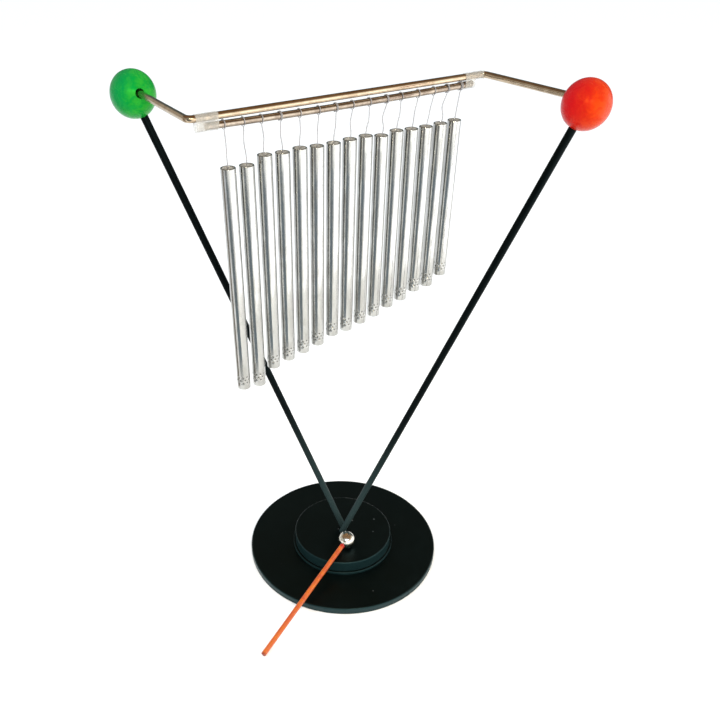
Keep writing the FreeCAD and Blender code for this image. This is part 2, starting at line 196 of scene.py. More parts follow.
def make_smudges():
    """Broad uneven patches: handling marks, thin paint, dulled plating."""
    tree, graph, given, result = new_group(
        "smudges",
        [("Vector", VECTOR, None), ("Size", FLOAT, 60.0), ("Contrast", FLOAT, 0.5)],
        [("Mask", FLOAT)],
    )
    broad = graph.put(
        "ShaderNodeTexNoise",
        Vector=given.outputs["Vector"],
        Scale=given.outputs["Size"],
        Detail=5.0,
        Roughness=0.62,
        Distortion=0.6,
    )
    low = graph.maths("MULTIPLY_ADD", given.outputs["Contrast"], 0.25, 0.25)
    high = graph.maths("SUBTRACT", 1.0, low)
    graph.feed(result, "Mask", graph.ramp(broad.outputs[0], low, high))
    return tree


def make_fine_grain():
    """Close, shallow unevenness, as on brushed or sprayed paint."""
    tree, graph, given, result = new_group(
        "fine_grain",
        [("Vector", VECTOR, None), ("Size", FLOAT, 900.0)],
        [("Height", FLOAT), ("Mask", FLOAT)],
    )
    close = graph.put(
        "ShaderNodeTexNoise",
        Vector=given.outputs["Vector"],
        Scale=given.outputs["Size"],
        Detail=3.0,
        Roughness=0.5,
    )
    graph.feed(result, "Height", close.outputs[0])
    graph.feed(result, "Mask", graph.ramp(close.outputs[0], 0.35, 0.7))
    return tree


def make_drawn_lines():
    """Fine lines along a drawn metal part. The vector comes stretched along the metal."""
    tree, graph, given, result = new_group(
        "drawn_lines",
        [("Vector", VECTOR, None), ("Size", FLOAT, 1.0)],
        [("Height", FLOAT), ("Mask", FLOAT)],
    )
    lines = graph.put(
        "ShaderNodeTexNoise",
        Vector=given.outputs["Vector"],
        Scale=given.outputs["Size"],
        Detail=6.0,
        Roughness=0.7,
    )
    graph.feed(result, "Height", lines.outputs[0])
    graph.feed(result, "Mask", graph.ramp(lines.outputs[0], 0.36, 0.66))
    return tree


def make_dust():
    """Sparse pale specks that lie on faces that point up."""
    tree, graph, given, result = new_group(
        "dust_specks",
        [("Vector", VECTOR, None), ("Size", FLOAT, 160.0), ("Amount", FLOAT, 0.12)],
        [("Mask", FLOAT)],
    )
    cells = graph.put(
        "ShaderNodeTexVoronoi",
        {"feature": "F1"},
        Vector=given.outputs["Vector"],
        Scale=given.outputs["Size"],
        Randomness=1.0,
    )
    split = graph.put("ShaderNodeSeparateColor")
    graph.feed(split, 0, cells.outputs["Color"])
    chosen = graph.maths("LESS_THAN", split.outputs[0], given.outputs["Amount"])
    radius = graph.maths("MULTIPLY", split.outputs[1], 0.16)
    near = graph.maths("LESS_THAN", cells.outputs["Distance"], radius)
    normal = graph.put("ShaderNodeSeparateXYZ")
    graph.feed(normal, 0, graph.put("ShaderNodeNewGeometry").outputs["Normal"])
    upward = graph.ramp(normal.outputs[2], 0.5, 0.9)
    speck = graph.both(chosen, near)
    graph.feed(result, "Mask", graph.both(speck, upward))
    return tree


SMUDGES = make_smudges()
FINE_GRAIN = make_fine_grain()
DRAWN_LINES = make_drawn_lines()
DUST = make_dust()


class Finish(Graph):
    """A material with one Principled shader, and the shared effects placed by name."""

    def __init__(self, name, colour, roughness, metallic=0.0, specular=0.5):
        self.material = bpy.data.materials.new(name)
        self.material.use_nodes = True
        super().__init__(self.material.node_tree)
        self.shader = self.tree.nodes["Principled BSDF"]
        self.set("Base Color", (*colour, 1))
        self.set("Roughness", roughness)
        self.set("Metallic", metallic)
        self.set("Specular IOR Level", specular)

    def set(self, socket, value):
        self.feed(self.shader, socket, value)

    def effect(self, group, vector, **values):
        made = self.tree.nodes.new("ShaderNodeGroup")
        made.node_tree = group
        self.feed(made, "Vector", vector)
        for key, value in values.items():
            self.feed(made, key, value)
        return made

    def relief(self, height, depth, strength=1.0):
        bump = self.put("ShaderNodeBump", Strength=strength, Distance=depth, Height=height)
        self.set("Normal", bump.outputs[0])


def solid(red, green, blue):
    return (red, green, blue, 1)


# ------------------------------------------------------------------ finishes
# painted light: upright faces are painted greyer near the foot, standing in for light thrown up
# from the floor, and stay plain black above this band
PAINTED_LIGHT_BELOW, BLACK_ABOVE = 30 * MM, 130 * MM


def black_paint(name, dark, worn, side, roughness, specular, sheen):
    """Satin black paint with handling marks, a little dust, and a painted highlight on upright
    faces low down.
    """
    finish = Finish(name, dark, roughness, specular=specular)
    place = finish.places()
    marks = finish.effect(SMUDGES, place, Size=28.0, Contrast=0.4).outputs["Mask"]
    streaks = finish.effect(SMUDGES, place, Size=140.0, Contrast=0.7).outputs["Mask"]
    dust = finish.effect(DUST, place, Size=300.0, Amount=0.06).outputs["Mask"]
    colour = finish.mix(finish.both(marks, streaks), solid(*dark), solid(*worn))
    normal = finish.put("ShaderNodeSeparateXYZ")
    finish.feed(normal, 0, finish.put("ShaderNodeTexCoord").outputs["Normal"])
    spot = finish.put("ShaderNodeSeparateXYZ")
    finish.feed(spot, 0, place)
    # painted light: faces that stand upright and sit low down take the paler side colour
    upright = finish.ramp(normal.outputs[2], 0.95, 0.4)
    lit_low_band = finish.ramp(spot.outputs[2], BLACK_ABOVE, PAINTED_LIGHT_BELOW)
    colour = finish.mix(finish.both(upright, lit_low_band), colour, solid(*side))
    finish.set("Base Color", finish.mix(dust, colour, solid(0.1, 0.11, 0.11)))
    uneven = finish.ramp(marks, 0, 1, roughness - 0.06, roughness + 0.1, smooth=False)
    finish.set("Roughness", finish.maths("MULTIPLY_ADD", streaks, 0.06, uneven))
    grain = finish.effect(FINE_GRAIN, place, Size=700.0).outputs["Height"]
    finish.relief(grain, 0.05 * MM, 0.5)
    finish.set("Specular Tint", solid(*sheen))
    return finish.material


def ball_paint(name, node, main, deep, light, sheen):
    """Satin paint on a turned wooden ball, with painted shade on its left side, and paler patches
    on its right that are partly thin paint and partly painted light.
    """
    finish = Finish(name, main, 0.26, specular=0.3)
    finish.set("Specular Tint", solid(*sheen))
    low, high = (Vector(corner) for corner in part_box(node))
    place = finish.places(middle=(low + high) / 2)
    broad = finish.effect(SMUDGES, place, Size=60.0, Contrast=0.1).outputs["Mask"]
    patches = finish.effect(SMUDGES, place, Size=230.0, Contrast=0.5).outputs["Mask"]
    split = finish.put("ShaderNodeSeparateXYZ")
    finish.feed(split, 0, place)
    # painted shade: the ball is painted darker towards its left, as if lit from the right
    drift = finish.maths("MULTIPLY_ADD", broad, 6 * MM, split.outputs[0])
    side = finish.ramp(drift, -8 * MM, 13 * MM)
    colour = finish.mix(side, solid(*deep), solid(*main))
    # paler patches only on the lit right side: partly thin paint, partly painted light
    thin = finish.maths("MULTIPLY", finish.both(patches, side), 0.45)
    finish.set("Base Color", finish.mix(thin, colour, solid(*light)))
    finish.set("Roughness", finish.ramp(patches, 0, 1, 0.22, 0.32, smooth=False))
    finish.relief(finish.effect(FINE_GRAIN, place, Size=650.0).outputs["Height"], 0.06 * MM, 0.5)
    return finish.material


def bar_metal(name, clean, dull, roughness, turn):
    """Polished plating over a drawn rod, warm where it is dulled."""
    finish = Finish(name, clean, roughness, metallic=1.0)
    stretched = finish.places(scale=(9, 700, 700), turn=turn)
    lines = finish.effect(DRAWN_LINES, stretched, Size=1.0)
    marks = finish.effect(SMUDGES, finish.places(), Size=120.0, Contrast=0.4).outputs["Mask"]
    finish.set("Base Color", finish.mix(marks, solid(*clean), solid(*dull)))
    uneven = finish.ramp(lines.outputs["Mask"], 0, 1, roughness - 0.04, roughness + 0.05)
    finish.set("Roughness", finish.maths("MULTIPLY_ADD", marks, 0.08, uneven))
    finish.relief(lines.outputs["Height"], 0.004 * MM, 0.3)
    return finish.material


def tube_metal():
    """Drawn aluminium, smudged and finely lined, with painted shade inside the punched dimples.
    """
    clean, dull, shadow = (0.5, 0.503, 0.49), (0.39, 0.388, 0.37), (0.13, 0.13, 0.12)
    finish = Finish("drawn_aluminium", clean, 0.26, metallic=1.0)
    stretched = finish.places(scale=(420, 420, 9))
    lines = finish.effect(DRAWN_LINES, stretched, Size=1.0)
    marks = finish.effect(SMUDGES, finish.places(scale=(1, 1, 0.35)), Size=170.0, Contrast=0.5)
    flecks = finish.effect(FINE_GRAIN, finish.places(scale=(1, 1, 0.5)), Size=620.0)
    dimple_shade = finish.put("ShaderNodeAttribute", {"attribute_name": "dimple_shade"}).outputs["Fac"]
    colour = finish.mix(marks.outputs["Mask"], solid(*clean), solid(*dull))
    lined = finish.maths("MULTIPLY", lines.outputs["Mask"], 0.3)
    colour = finish.mix(lined, colour, solid(0.42, 0.42, 0.42))
    # painted shade: each dimple is darkened by its depth
    finish.set("Base Color", finish.mix(dimple_shade, colour, solid(*shadow)))
    uneven = finish.ramp(marks.outputs["Mask"], 0, 1, 0.11, 0.19)
    finish.set("Roughness", finish.maths("MULTIPLY_ADD", flecks.outputs["Mask"], 0.04, uneven))
    height = finish.maths("MULTIPLY_ADD", flecks.outputs["Height"], 0.8, lines.outputs["Height"])
    finish.relief(height, 0.025 * MM, 0.5)
    return finish.material


def soft_tubing():
    """Clear soft tubing, cloudy where it has been rubbed."""
    finish = Finish("soft_tubing", (0.8, 0.79, 0.75), 0.28, specular=0.4)
    place = finish.places()
    cloudy = finish.effect(SMUDGES, place, Size=240.0, Contrast=0.3).outputs["Mask"]
    finish.set("Base Color", finish.mix(cloudy, solid(0.64, 0.63, 0.59), solid(0.48, 0.46, 0.42)))
    finish.set("Alpha", finish.ramp(cloudy, 0, 1, 0.2, 0.36))
    finish.set("Roughness", finish.ramp(cloudy, 0, 1, 0.22, 0.4))
    finish.relief(finish.effect(FINE_GRAIN, place, Size=900.0).outputs["Height"], 0.02 * MM, 0.4)
    return finish.material


def pale_plastic():
    """Dull moulded plastic, darker where it is handled."""
    finish = Finish("pale_plastic", (0.38, 0.36, 0.32), 0.5)
    place = finish.places()
    marks = finish.effect(SMUDGES, place, Size=500.0, Contrast=0.5).outputs["Mask"]
    finish.set("Base Color", finish.mix(marks, solid(0.38, 0.36, 0.32), solid(0.18, 0.17, 0.15)))
    finish.relief(finish.effect(FINE_GRAIN, place, Size=2000.0).outputs["Height"], 0.05 * MM)
    return finish.material


def nylon():
    """Clear single-strand thread, a little cloudy."""
    finish = Finish("nylon_thread", (0.3, 0.29, 0.3), 0.3, specular=0.5)
    marks = finish.effect(SMUDGES, finish.places(), Size=600.0, Contrast=0.5).outputs["Mask"]
    finish.set("Base Color", finish.mix(marks, solid(0.37, 0.36, 0.37), solid(0.28, 0.27, 0.28)))
    finish.set("Alpha", finish.ramp(marks, 0, 1, 0.55, 0.7))
    finish.set("Roughness", finish.ramp(marks, 0, 1, 0.22, 0.42))
    return finish.material


def mirror_steel():
    """Polished steel with faint finger marks."""
    finish = Finish("mirror_steel", (0.86, 0.86, 0.85), 0.05, metallic=1.0)
    place = finish.places()
    marks = finish.effect(SMUDGES, place, Size=260.0, Contrast=0.6).outputs["Mask"]
    finish.set("Roughness", finish.ramp(marks, 0, 1, 0.1, 0.22))
    finish.set("Base Color", finish.mix(marks, solid(0.78, 0.76, 0.7), solid(0.64, 0.61, 0.55)))
    return finish.material


def orange_lacquer(ball_centre, downhill):
    """Lacquer over grain that runs along the stick, redder at the ball, dark at the tip."""
    finish = Finish("orange_lacquer", (0.7, 0.15, 0.02), 0.3)
    place = finish.places(middle=ball_centre)
    away = finish.put("ShaderNodeVectorMath", {"operation": "LENGTH"})
    finish.feed(away, 0, place)
    reach = away.outputs["Value"]
    along = finish.put("ShaderNodeVectorMath", {"operation": "DOT_PRODUCT"})
    finish.feed(along, 0, place)
    finish.feed(along, 1, tuple(downhill))
    spine = finish.put("ShaderNodeVectorMath", {"operation": "SCALE"})
    finish.feed(spine, 0, tuple(downhill))
    finish.feed(spine, "Scale", finish.maths("MULTIPLY", along.outputs["Value"], -0.985))
    across = finish.put("ShaderNodeVectorMath", {"operation": "ADD"})
    finish.feed(across, 0, place)
    finish.feed(across, 1, spine.outputs[0])
    grain = finish.effect(DRAWN_LINES, across.outputs[0], Size=1500.0)
    marks = finish.effect(SMUDGES, place, Size=190.0, Contrast=0.4).outputs["Mask"]
    colour = finish.mix(marks, solid(0.6, 0.15, 0.017), solid(0.48, 0.075, 0.011))
    streaks = finish.maths("MULTIPLY", grain.outputs["Mask"], 0.55)
    colour = finish.mix(streaks, colour, solid(0.36, 0.032, 0.008))
    colour = finish.mix(finish.ramp(reach, 9.5 * MM, 7.5 * MM), colour, solid(0.42, 0.02, 0.01))
    colour = finish.mix(finish.ramp(reach, 105.5 * MM, 108 * MM), colour, solid(0.22, 0.03, 0.01))
    finish.set("Base Color", colour)
    finish.set("Roughness", finish.ramp(marks, 0, 1, 0.24, 0.4))
    finish.relief(grain.outputs["Height"], 0.04 * MM, 0.5)
    return finish.material


def pressed_felt():
    """Thin black felt under the base."""
    finish = Finish("pressed_felt", (0.018, 0.018, 0.018), 0.95, specular=0.2)
    place = finish.places()
    fibres = finish.effect(FINE_GRAIN, place, Size=1500.0)
    deep, raised = solid(0.012, 0.012, 0.012), solid(0.04, 0.04, 0.04)
    finish.set("Base Color", finish.mix(fibres.outputs["Mask"], deep, raised))
    finish.set("Sheen Weight", 0.3)
    finish.relief(fibres.outputs["Height"], 0.3 * MM)
    return finish.material


def zinc_plate():
    """Plated screws, unevenly dulled."""
    finish = Finish("zinc_plate", (0.6, 0.6, 0.58), 0.3, metallic=1.0)
    marks = finish.effect(SMUDGES, finish.places(), Size=400.0, Contrast=0.5).outputs["Mask"]
    finish.set("Base Color", finish.mix(marks, solid(0.66, 0.66, 0.64), solid(0.42, 0.42, 0.4)))
    finish.set("Roughness", finish.ramp(marks, 0, 1, 0.22, 0.4))
    return finish.material


def dress(material, *names):
    """Give CAD nodes their finish."""
    for name in names:
        mesh = nodes[name].data
        mesh.materials.clear()
        mesh.materials.append(material)


# ------------------------------------------------------------------ piece helpers
def finish_piece(name, shape, material, body, replaced, sharp=35):
    """Turn a shape into a piece that rides on a body and stands for a CAD node."""
    bmesh.ops.remove_doubles(shape, verts=shape.verts, dist=TINY)
    bmesh.ops.recalc_face_normals(shape, faces=shape.faces)
    mesh = bpy.data.meshes.new(name)
    shape.to_mesh(mesh)
    shape.free()
    mesh.shade_smooth()
    mesh.set_sharp_from_angle(angle=math.radians(sharp))
    mesh.materials.append(material)
    piece = bpy.data.objects.new(name, mesh)
    scene.collection.objects.link(piece)
    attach(piece, body)
    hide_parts(replaced)
    return piece


def facing(place, direction):
    """A matrix that moves the origin to a place and turns local +Z to a direction."""
    turn = UP.rotation_difference(direction).to_matrix().to_4x4()
    return Matrix.Translation(place) @ turn


def lathe(shape, profile, steps, centre, closed):
    """Spin a profile of (radius, height) points about the vertical through a centre."""
    points = [shape.verts.new(centre + Vector((r, 0, z))) for r, z in profile]
    edges = [shape.edges.new(pair) for pair in zip(points, points[1:])]
    if closed:
        edges.append(shape.edges.new((points[-1], points[0])))
    return bmesh.ops.spin(
        shape,
        geom=points + edges,
        cent=centre,
        axis=UP,
        angle=math.tau,
        steps=steps,
        use_merge=True,
    )


# ------------------------------------------------------------------ bars
def open_ring(shape, place, direction, radius, segments=40):
    """Start a bar with a capped round end that faces a direction."""
    made = bmesh.ops.create_circle(
        shape, cap_ends=True, radius=radius, segments=segments, matrix=facing(place, direction)
    )
    return made["verts"]


def ring_edges(verts):
    """The edges between these vertices, each once and in a steady order."""
    chosen = set(verts)
    found = (e for v in verts for e in v.link_edges if all(o in chosen for o in e.verts))
    return list(dict.fromkeys(found))


def push_ring(shape, verts, move):
    """Extend the bar straight on from its open end."""
    made = bmesh.ops.extrude_edge_only(shape, edges=ring_edges(verts))
    fresh = [item for item in made["geom"] if isinstance(item, bmesh.types.BMVert)]
    bmesh.ops.translate(shape, verts=fresh, vec=move)
    return fresh


def turn_ring(shape, verts, centre, axis, angle, steps):
    """Extend the bar round an arc from its open end."""
    geometry = verts + ring_edges(verts)
    made = bmesh.ops.spin(
        shape, geom=geometry, cent=centre, axis=axis, angle=angle, steps=steps
    )
    return [item for item in made["geom_last"] if isinstance(item, bmesh.types.BMVert)]


def close_ring(shape, verts):
    """Cap the bar's open end."""
    bmesh.ops.contextual_create(shape, geom=ring_edges(verts))


def bar_bend(side):
    """A bend's tangent points on the arm and on the long run, and the arc's centre."""
    corner = BAR_MIDDLE + ALONG_BAR * (side * BAR_HALF)
    socket = BALL_CENTRES[side] + UP * BAR_RISE
    arm = (socket - corner).normalized()
    run = ALONG_BAR * -side
    half_turn = arm.angle(run) / 2
    back = BEND_RADIUS / math.tan(half_turn)
    hinge = corner + (arm + run).normalized() * (BEND_RADIUS / math.sin(half_turn))
    return socket - arm * BAR_END_IN_BALL, corner + arm * back, corner + run * back, hinge


def make_crossbar(material):
    """The long run and its two arms, bent level and pushed into the balls."""
    shape = bmesh.new()
    left_end, left_arm, left_run, left_hinge = bar_bend(-1)
    right_end, right_arm, right_run, right_hinge = bar_bend(1)
    ring = open_ring(shape, left_end, (left_arm - left_end).normalized(), BAR_RADIUS)
    ring = push_ring(shape, ring, left_arm - left_end)
    for start, stop, hinge, onward in (
        (left_arm, left_run, left_hinge, right_run - left_run),
        (right_run, right_arm, right_hinge, right_end - right_arm),
    ):
        first, last = start - hinge, stop - hinge
        axis = first.cross(last).normalized()
        ring = turn_ring(shape, ring, hinge, axis, first.angle(last), BEND_STEPS)
        ring = push_ring(shape, ring, onward)
    close_ring(shape, ring)
    return finish_piece("crossbar_metal", shape, material, "stand", "crossbar")


def chime_bar_point(distance):
    """A point on the sagging chime bar's axis, measured from its middle."""
    rise = CHIME_BAR_BOW - math.sqrt(CHIME_BAR_BOW**2 - distance**2)
    return BAR_MIDDLE + ALONG_BAR * distance + UP * (rise - CHIME_BAR_DROP)


def make_chime_bar(material):
    """The bar under the crossbar, bowed down a little at its middle."""
    shape = bmesh.new()
    half_angle = math.asin(CHIME_BAR_HALF / CHIME_BAR_BOW)
    centre = chime_bar_point(0) + UP * CHIME_BAR_BOW
    start = chime_bar_point(-CHIME_BAR_HALF)
    spoke = start - centre
    axis = spoke.cross(chime_bar_point(CHIME_BAR_HALF) - centre).normalized()
    ring = open_ring(shape, start, axis.cross(spoke).normalized(), BAR_RADIUS)
    ring = turn_ring(shape, ring, centre, axis, 2 * half_angle, CHIME_BAR_STEPS)
    close_ring(shape, ring)
    return finish_piece("chime_bar_metal", shape, material, "stand", "chime_bar")


# ------------------------------------------------------------------ tubes
TUBE_RADIUS = 3.95 * MM
TUBE_WALL = 0.8 * MM
TUBE_STEPS = 88
LIP = 0.3 * MM
PUNCH_HEIGHTS = (4.4 * MM, 6.3 * MM, 8.2 * MM)
PUNCH_COUNT = 9
PUNCH_RADIUS = 0.8 * MM
PUNCH_DEPTH = 0.45 * MM
PUNCH_BAND = (3.4 * MM, 9.2 * MM)
BAND_ROWS = 26
PLUG_GAP = 0.02 * MM
PLUG_STEPS = 40
BUSH_HOLE = 1.3 * MM
BUSH_LENGTH = 4 * MM
BUSH_INSET = 0.25 * MM
BUSH_DISH_WIDTH, BUSH_DISH_DEPTH = 0.7 * MM, 0.6 * MM
PLUG_INSET, PLUG_END = 0.8 * MM, 10.8 * MM
PLUG_EASE_WIDTH, PLUG_EASE_DEPTH = 0.5 * MM, 0.4 * MM


def tube_ends(number):
    """The middle of a tube's foot, and its length."""
    top = hinge_place(f"lean_{number:02d}")
    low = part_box(f"chime_tube_{number:02d}")[0][2]
    return Vector((top.x, top.y, low)), top.z - low


def punch_dimples(shape, foot, first_angle):
    """Push the wall in at staggered rows of marks, and record how deep each point goes, as the
    weight of the painted shade in the dimples.
    """
    depth_layer = shape.verts.layers.float.new("dimple_shade")
    for vert in shape.verts:
        away = vert.co - foot
        reach = math.hypot(away.x, away.y)
        if reach < TUBE_RADIUS - 1e-5 or not PUNCH_BAND[0] < away.z < PUNCH_BAND[1]:
            continue
        angle = (math.atan2(away.y, away.x) - first_angle) / math.tau * PUNCH_COUNT
        gaps = []
        for row, height in enumerate(PUNCH_HEIGHTS):
            turn = angle + row % 2 / 2
            across = (turn - round(turn)) / PUNCH_COUNT * math.tau * TUBE_RADIUS
            gaps.append(math.hypot(across, away.z - height))
        gap = min(gaps)
        if gap < PUNCH_RADIUS:
            share = 0.5 + 0.5 * math.cos(math.pi * gap / PUNCH_RADIUS)
            inward = Vector((away.x, away.y, 0)).normalized() * (PUNCH_DEPTH * share)
            vert.co -= inward
            vert[depth_layer] = min(1.0, 1.5 * share)


def make_tube(number, material, chance):
    """An open tube with eased rims, and its punched marks turned by chance."""
    foot, length = tube_ends(number)
    inner = TUBE_RADIUS - TUBE_WALL
    shape = bmesh.new()
    low, high = PUNCH_BAND
    heights = [low + (high - low) * row / BAND_ROWS for row in range(BAND_ROWS + 1)]
    band = [(TUBE_RADIUS, height) for height in heights]
    profile = [(inner, 0), (TUBE_RADIUS, 0), *band, (TUBE_RADIUS, length), (inner, length)]
    lathe(shape, profile, TUBE_STEPS, foot, closed=True)
    rims = [
        edge
        for edge in shape.edges
        if len(edge.link_faces) == 2
        and abs(edge.verts[0].co.z - edge.verts[1].co.z) < TINY
        and min(abs(edge.verts[0].co.z - z) for z in (foot.z, foot.z + length)) < TINY
        and edge.calc_face_angle() > 1
    ]
    bmesh.ops.bevel(
        shape,
        geom=rims,
        offset=LIP,
        segments=3,
        profile=0.5,
        affect="EDGES",
        material=-1,
    )
    punch_dimples(shape, foot, chance.uniform(0, math.tau))
    name = f"chime_tube_{number:02d}"
    body = f"chime_{number:02d}"
    return finish_piece(f"{name}_metal", shape, material, body, name)


def make_plugs(number, material):
    """The bush in a tube's top, with its dished hole, and the plug in its foot."""
    foot, length = tube_ends(number)
    inner = TUBE_RADIUS - TUBE_WALL - PLUG_GAP
    top, deep = length - BUSH_INSET, length - BUSH_LENGTH
    bush = [
        (BUSH_HOLE, deep),
        (inner, deep),
        (inner, top),
        (BUSH_HOLE + BUSH_DISH_WIDTH, top),
        (BUSH_HOLE, top - BUSH_DISH_DEPTH),
    ]
    plug = [
        (0, PLUG_INSET),
        (inner - PLUG_EASE_WIDTH, PLUG_INSET),
        (inner, PLUG_INSET + PLUG_EASE_DEPTH),
        (inner, PLUG_END),
        (0, PLUG_END),
    ]
    shape = bmesh.new()
    lathe(shape, bush, PLUG_STEPS, foot, closed=True)
    lathe(shape, plug, PLUG_STEPS, foot, closed=False)
    name = f"chime_plugs_{number:02d}"
    body = f"chime_{number:02d}"
    return finish_piece(f"{name}_moulded", shape, material, body, name)


# ------------------------------------------------------------------ threads
THREAD_RADIUS = 0.27 * MM
KNOT_RADIUS = 1.6 * MM
# how far each loop sits along the bar from its tube, the turns in the loop, and how far
# the strand bows along the bar and across it on its way down, all but the turns in mm
THREADS = (
    (-0.8, 1, 0.3, 0.2),
    (-0.7, 1, -0.4, 0.3),
    (-1.1, 1, 0.5, -0.2),
    (-0.8, 2, -0.4, 0.2),
    (0.0, 1, 0.6, 0.3),
    (0.9, 1, -0.5, -0.3),
    (1.1, 2, 0.5, 0.2),
    (1.0, 1, -0.6, 0.3),
    (1.5, 1, 0.4, -0.3),
    (2.3, 2, -1.1, 0.4),
    (1.6, 1, 0.7, 0.2),
    (2.8, 1, -0.7, -0.3),
    (3.4, 1, 0.0, 0.2),
    (2.6, 2, -1.4, 0.3),
    (1.8, 3, 0.2, 0.2),
)
LOOP_STEPS = 8
LOOP_GAP = 0.04 * MM
LOOP_PITCH = 2.1 * THREAD_RADIUS
STRAND_START = 1.2 * MM
STRAND_END = 1 * MM
# how much of its bow a strand has at each share of the way down
STRAND_SWINGS = ((0.22, 0.75), (0.42, 1.0), (0.62, -0.15), (0.82, -0.55))
KNOT_DEPTH = 6.1 * MM
KNOT_SQUASH = (1, 0.85, 0.9, 1)


def thread_route(number):
    """Turns round the chime bar, then a softly curved drop into the tube's bush."""
    slip, turns, bow, belly = THREADS[number - 1]
    at_bar = hinge_place(f"swing_{number:02d}")
    at_tube = hinge_place(f"lean_{number:02d}")
    radius = (BAR_RADIUS + THREAD_RADIUS + LOOP_GAP) / math.cos(math.pi / LOOP_STEPS)
    centre = at_bar + ALONG_BAR * (slip * MM)
    route = []
    count = turns * LOOP_STEPS + 1
    for step in range(count):
        turn = math.tau * step / LOOP_STEPS
        sideways = ALONG_BAR * (LOOP_PITCH * (step - count / 2) / LOOP_STEPS)
        spoke = -UP * math.cos(turn) + ACROSS_BAR * math.sin(turn)
        route.append(centre + sideways + spoke * radius)
    start = centre - UP * (radius + STRAND_START) + ALONG_BAR * (LOOP_PITCH / 2)
    end = at_tube - UP * STRAND_END
    route.append(start)
    for share, swing in STRAND_SWINGS:
        point = start.lerp(end, share)
        point += ALONG_BAR * (bow * swing * MM) + ACROSS_BAR * (belly * swing * MM)
        route.append(point)
    route.append(end)
    knot = at_tube - UP * KNOT_DEPTH
    route.append(knot)
    return route, knot


def make_thread(number, material):
    """A round strand along its route, with the knot inside the tube."""
    route, knot = thread_route(number)
    line = bpy.data.curves.new("thread_line", "CURVE")
    line.dimensions = "3D"
    line.resolution_u = 6
    line.bevel_depth = THREAD_RADIUS
    line.bevel_resolution = 3
    line.use_fill_caps = True
    spline = line.splines.new("NURBS")
    spline.points.add(len(route) - 1)
    for point, place in zip(spline.points, route):
        point.co = (*place, 1)
    spline.order_u = 3
    spline.use_endpoint_u = True
    holder = bpy.data.objects.new("thread_line", line)
    mesh = bpy.data.meshes.new_from_object(holder)
    shape = bmesh.new()
    shape.from_mesh(mesh)
    bpy.data.objects.remove(holder)
    bpy.data.meshes.remove(mesh)
    squash = Matrix.Translation(knot) @ Matrix.Diagonal(KNOT_SQUASH)
    bmesh.ops.create_icosphere(shape, subdivisions=3, radius=KNOT_RADIUS, matrix=squash)
    name = f"chime_thread_{number:02d}"
    body = f"thread_{number:02d}"
    return finish_piece(f"{name}_strand", shape, material, body, name, sharp=60)


# ------------------------------------------------------------------ mallet stick
STICK_RADIUS = 1.75 * MM
STICK_LENGTH = 107 * MM
STICK_START = 1 * MM
STICK_HEADING = math.radians(243.1)
STICK_SEGMENTS = 36
# the last steps to the tip, each with how far the ring narrows there
TIP_STEPS = ((0.4 * MM, 0.88), (0.2 * MM, 0.7))


def mallet_line():
    """The mallet ball's centre, and the way down its stick from there."""
    low, high = (Vector(corner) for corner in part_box("mallet_ball"))
    centre = (low + high) / 2
    low, high = (Vector(corner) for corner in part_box("mallet_stick"))
    heading = Vector((math.cos(STICK_HEADING), math.sin(STICK_HEADING), 0))
    drop = high.z - low.z - 2 * STICK_RADIUS * 0.98
    slope = math.asin(drop / STICK_LENGTH)
    return centre, (heading * math.cos(slope) - UP * math.sin(slope)).normalized()


def make_stick(material, centre, downhill):
    """A round stick whose tip is eased over."""
    shape = bmesh.new()
    start = centre + downhill * STICK_START
    reach = STICK_LENGTH - sum(step for step, share in TIP_STEPS)
    ring = open_ring(shape, start, downhill, STICK_RADIUS, STICK_SEGMENTS)
    ring = push_ring(shape, ring, downhill * reach)
    for step, share in TIP_STEPS:
        reach += step
        ring = push_ring(shape, ring, downhill * step)
        tip = start + downhill * reach
        for vert in ring:
            vert.co = tip + (vert.co - tip) * share
    close_ring(shape, ring)
    name = "stick_lacquered"
    return finish_piece(name, shape, material, "mallet", "mallet_stick")


# ------------------------------------------------------------------ floor and light
FLOOR_HALF = 8.0
CARD_FAR = 6.0
CARD_STEPS = 12
# how high a card lies for each metre between it and the stand
CARD_RISE = 5 * MM
COOL_LIGHT, WARM_LIGHT = (0.86, 0.94, 1.0), (1.0, 0.88, 0.66)
LAMP_TARGET = (0.1, 0, 0.3)
LAMP_SIZE, LAMP_POWER = 0.1, 3.4


def area_light(name, place, target, size, power, colour):
    """A square light at a place, aimed at a target."""
    data = bpy.data.lights.new(name, "AREA")
    data.shape = "RECTANGLE"
    data.size = data.size_y = size
    data.energy = power
    data.color = colour
    light = bpy.data.objects.new(name, data)
    aim = (Vector(target) - Vector(place)).to_track_quat("-Z", "Y")
    light.matrix_world = Matrix.Translation(place) @ aim.to_matrix().to_4x4()
    scene.collection.objects.link(light)
    return light


def stage_piece(name, shape, material):
    """A piece of the surroundings, which is no part of the object."""
    mesh = bpy.data.meshes.new(name)
    shape.to_mesh(mesh)
    shape.free()
    mesh.materials.append(material)
    piece = bpy.data.objects.new(name, mesh)
    scene.collection.objects.link(piece)
    return piece


def reflector(name, first, last, near, colour, strength):
    """A flat wedge just over the floor, between two bearings, that only polish mirrors."""
    material = bpy.data.materials.new(name)
    material.use_nodes = True
    graph = Graph(material.node_tree)
    material.node_tree.nodes.clear()
    glow = graph.put("ShaderNodeEmission", Color=solid(*colour), Strength=strength)
    output = graph.put("ShaderNodeOutputMaterial")
    graph.tree.links.new(glow.outputs[0], output.inputs["Surface"])
    shape = bmesh.new()
    turn = Matrix.Rotation(math.radians(first), 3, "Z")
    starts = [Vector((reach, 0, near * CARD_RISE)) for reach in (near, CARD_FAR)]
    ends = [shape.verts.new(turn @ start) for start in starts]
    edge = shape.edges.new(ends)
    sweep = math.radians(last - first)
    bmesh.ops.spin(shape, geom=[*ends, edge], axis=UP, angle=sweep, steps=CARD_STEPS)
    card = stage_piece(name, shape, material)
    card.visible_camera = False
    card.visible_diffuse = False
    card.visible_transmission = False
    card.visible_shadow = False
    return card


